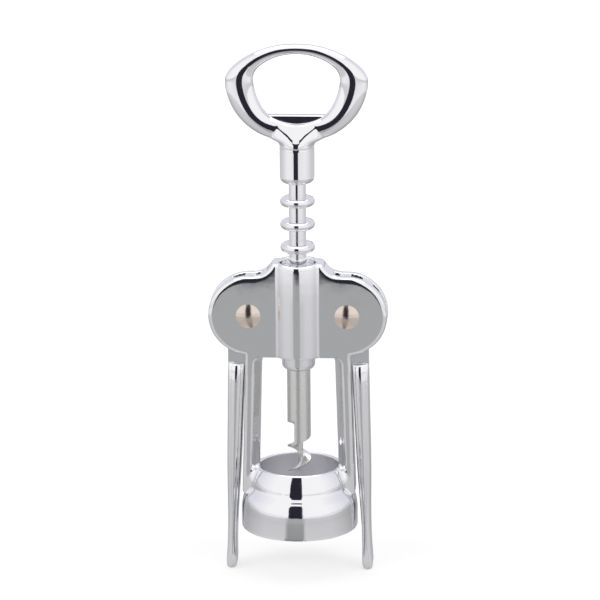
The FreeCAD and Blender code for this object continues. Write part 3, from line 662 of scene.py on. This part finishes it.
def white_floor():
    """Matt white floor that the eye sees as white where no shadow falls. In the metal it is the lit paper
    itself, paler towards the front and close to the object. To the sides it grows paler with distance, and
    all round it sweeps up into the white wall of the tent."""
    material, tree, output = new_material("matt_white_floor")
    in_metal, to_eye = kinds_of_ray(tree)
    place = add(tree, "ShaderNodeTexCoord").outputs["Object"]
    front, level = towards_front(tree, place)
    reach = add(tree, "ShaderNodeVectorMath", {"operation": "LENGTH"}, {0: level}).outputs["Value"]
    near = add(tree, "ShaderNodeMapRange",
               {"From Min": back_cosine, "From Max": front_cosine, "To Min": 0.0, "To Max": front_glow},
               {"Value": front})
    beside = add(tree, "ShaderNodeMapRange",
                 {"From Min": beside_start, "From Max": beside_end, "To Min": beside_glow, "To Max": 0.0},
                 {"Value": reach})
    paper_glow = add(tree, "ShaderNodeMath", {"operation": "ADD"},
                     {0: near.outputs["Result"], 1: beside.outputs["Result"]})
    mirrored = add(tree, "ShaderNodeMath", {"operation": "MULTIPLY"},
                   {0: paper_glow.outputs["Value"], 1: in_metal})
    sweep = add(tree, "ShaderNodeMapRange",
                {"From Min": sweep_start, "From Max": sweep_end, "To Min": 0.0, "To Max": sweep_glow},
                {"Value": reach})
    aside = add(tree, "ShaderNodeMapRange", {"From Min": side_start, "From Max": side_end}, {"Value": front})
    rise = add(tree, "ShaderNodeMapRange",
               {"From Min": climb_start, "From Max": sweep_end, "To Min": 0.0, "To Max": climb_glow},
               {"Value": reach})
    climb = add(tree, "ShaderNodeMath", {"operation": "MULTIPLY"},
                {0: rise.outputs["Result"], 1: aside.outputs["Result"]})
    wall = add(tree, "ShaderNodeMath", {"operation": "MAXIMUM"},
               {0: sweep.outputs["Result"], 1: climb.outputs["Value"]})
    seen = add(tree, "ShaderNodeMath", {"operation": "MAXIMUM"}, {0: in_metal, 1: to_eye})
    glowing = add(tree, "ShaderNodeMath", {"operation": "MULTIPLY_ADD"},
                  {0: wall.outputs["Value"], 1: seen.outputs["Value"], 2: mirrored.outputs["Value"]})
    strength = add(tree, "ShaderNodeMath", {"operation": "MULTIPLY_ADD", 1: eye_glow},
                   {0: to_eye, 2: glowing.outputs["Value"]})
    paper = add(tree, "ShaderNodeBsdfDiffuse", {"Color": colour("B4B4B4")})
    glow = add(tree, "ShaderNodeEmission", {"Color": white}, {"Strength": strength.outputs["Value"]})
    both = add(tree, "ShaderNodeAddShader", None, {0: paper.outputs["BSDF"], 1: glow.outputs["Emission"]})
    tree.links.new(both.outputs["Shader"], output.inputs["Surface"])
    return material


def card(name, code):
    """An even card that gives off its own tone."""
    material, tree, output = new_material(name)
    glow = add(tree, "ShaderNodeEmission", {"Color": colour(code), "Strength": 1.0})
    tree.links.new(glow.outputs["Emission"], output.inputs["Surface"])
    return material


def slit_gloss():
    """The slit's dim image in the floor's slight gloss: a soft-edged wedge that spreads from the object's
    foot."""
    near_grey = colour("808285")
    far_grey = colour("AAACAB")
    material, tree, output = new_material("gloss_of_the_slit")
    place = add(tree, "ShaderNodeSeparateXYZ", None, {0: add(tree, "ShaderNodeTexCoord").outputs["Object"]})
    ahead = add(tree, "ShaderNodeMath", {"operation": "MULTIPLY", 1: -1.0}, {0: place.outputs["Y"]})
    slope = add(tree, "ShaderNodeMath", {"operation": "DIVIDE"},
                {0: place.outputs["X"], 1: ahead.outputs["Value"]})
    lean = add(tree, "ShaderNodeMath", {"operation": "SUBTRACT", 1: slit_slope}, {0: slope.outputs["Value"]})
    aside = add(tree, "ShaderNodeMath", {"operation": "ABSOLUTE"}, {0: lean.outputs["Value"]})
    cover = add(tree, "ShaderNodeMapRange",
                {"From Min": wedge_slope - wedge_blur, "From Max": wedge_slope + wedge_blur, "To Min": 1.0,
                 "To Max": 0.0}, {"Value": aside.outputs["Value"]})
    far = add(tree, "ShaderNodeMapRange", {"From Min": tone_start, "From Max": tone_end},
              {"Value": ahead.outputs["Value"]})
    tone = add(tree, "ShaderNodeMix",
               {"data_type": "RGBA", first_colour: near_grey, second_colour: far_grey},
               {"Factor": far.outputs["Result"]})
    glow = add(tree, "ShaderNodeEmission", {"Strength": 1.0}, {"Color": tone.outputs[mixed_colour]})
    bare = add(tree, "ShaderNodeBsdfTransparent")
    mixed = add(tree, "ShaderNodeMixShader", None,
                {0: cover.outputs["Result"], 1: bare.outputs["BSDF"], 2: glow.outputs["Emission"]})
    tree.links.new(mixed.outputs["Shader"], output.inputs["Surface"])
    return material


def only_in_metal(sheet):
    """Hides the sheet from the eye and from the lamps' light and shadow; the metal still mirrors it."""
    sheet.visible_camera = False
    sheet.visible_diffuse = False
    sheet.visible_shadow = False


def standing_card(name, code, across, distance, half_width, top):
    """A card that stands on the floor, facing the object; distance is along Y and across along X."""
    middle = Vector((across, distance, (top + floor_height) / 2))
    place = Matrix.Translation(middle) @ Matrix.Rotation(math.radians(90), 4, "X")
    only_in_metal(stage_sheet(name, 2 * half_width, top - floor_height, card(name, code), place))


stage_sheet("floor", floor_size, floor_size, white_floor(), Matrix.Translation((0, 0, floor_height)))
standing_card("tent_slit", "2A2833", slit_slope * slit_distance, -slit_distance, slit_half_width, slit_top)
standing_card("back_flag", "4A4A52", 0.0, flag_distance, flag_half_width, flag_top)
wedge_place = Matrix.Translation((0, -(slit_distance + wedge_start) / 2, floor_height + floor_gap))
only_in_metal(stage_sheet("slit_gloss", wedge_width, slit_distance - wedge_start, slit_gloss(), wedge_place))


def softbox(name, place, width, height, watts, in_metal):
    """A rectangular soft light aimed at the object's middle, with or without its image in the metal."""
    data = bpy.data.lights.new(name, "AREA")
    data.shape = "RECTANGLE"
    data.size = width
    data.size_y = height
    data.energy = watts
    light = bpy.data.objects.new(name, data)
    light.location = place
    light.visible_glossy = in_metal
    light.rotation_mode = "QUATERNION"
    light.rotation_quaternion = (Vector((0, 0, look_height)) - Vector(place)).to_track_quat("-Z", "Y")
    bpy.context.scene.collection.objects.link(light)


softbox("left_softbox", (-0.75, -0.45, 0.55), width=0.7, height=0.9, watts=2.5, in_metal=False)
softbox("right_softbox", (0.75, -0.45, 0.55), width=0.7, height=0.9, watts=2.2, in_metal=False)
softbox("top_softbox", (0, 0.1, 1.0), width=1.1, height=1.0, watts=4.0, in_metal=True)


def white_world():
    """The tent: white for the eye, a shade dimmer towards the back in the metal, and a plain fill light."""
    world = bpy.data.worlds.new("white_tent")
    bpy.context.scene.world = world
    world.use_nodes = True
    tree = world.node_tree
    tree.nodes.clear()
    in_metal, to_eye = kinds_of_ray(tree)
    front, _ = towards_front(tree, add(tree, "ShaderNodeTexCoord").outputs["Generated"])
    share = add(tree, "ShaderNodeMapRange", {"From Min": back_cosine, "From Max": front_cosine},
                {"Value": front})
    mirrored = add(tree, "ShaderNodeMix",
                   {"data_type": "RGBA", first_colour: back_tone, second_colour: white},
                   {"Factor": share.outputs["Result"]})
    tone = add(tree, "ShaderNodeMix", {"data_type": "RGBA", second_colour: white},
               {"Factor": to_eye, first_colour: mirrored.outputs[mixed_colour]})
    seen = add(tree, "ShaderNodeMath", {"operation": "MAXIMUM"}, {0: in_metal, 1: to_eye})
    strength = add(tree, "ShaderNodeMapRange", {"To Min": fill_strength, "To Max": 1.0},
                   {"Value": seen.outputs["Value"]})
    light = add(tree, "ShaderNodeBackground", None,
                {"Color": tone.outputs[mixed_colour], "Strength": strength.outputs["Result"]})
    output = add(tree, "ShaderNodeOutputWorld")
    tree.links.new(light.outputs["Background"], output.inputs["Surface"])


white_world()


# ---- Camera ----
frame_pixels = 600


def place_camera(azimuth, distance, height, look_at, roll, metres_per_pixel, shift):
    """Camera on a circle round the spindle axis: angles in degrees, lengths in metres, shift in pixels of a
    square picture of frame_pixels."""
    turn = math.radians(azimuth)
    eye = Vector((distance * math.sin(turn), -distance * math.cos(turn), height))
    forward = Vector((0, 0, look_at)) - eye
    reach = forward.length
    forward.normalize()
    right = forward.cross(Vector((0, 0, 1))).normalized()
    up = right.cross(forward)
    lean = math.radians(roll)
    leaned_right = right * math.cos(lean) - up * math.sin(lean)
    leaned_up = right * math.sin(lean) + up * math.cos(lean)
    data = bpy.data.cameras.new("camera")
    data.sensor_width = 36.0
    data.lens = data.sensor_width * reach / (metres_per_pixel * frame_pixels)
    data.shift_x = shift[0] / frame_pixels
    data.shift_y = shift[1] / frame_pixels
    data.clip_start = 0.05
    data.clip_end = 20
    camera = bpy.data.objects.new("camera", data)
    camera.matrix_world = Matrix((
        (leaned_right.x, leaned_up.x, -forward.x, eye.x),
        (leaned_right.y, leaned_up.y, -forward.y, eye.y),
        (leaned_right.z, leaned_up.z, -forward.z, eye.z),
        (0, 0, 0, 1)))
    bpy.context.scene.collection.objects.link(camera)
    bpy.context.scene.camera = camera


place_camera(azimuth=3.8, distance=1.5, height=0.499, look_at=look_height, roll=0.46,
             metres_per_pixel=0.000353, shift=(1.78, 8.42))
bpy.context.scene.view_settings.view_transform = "Standard"
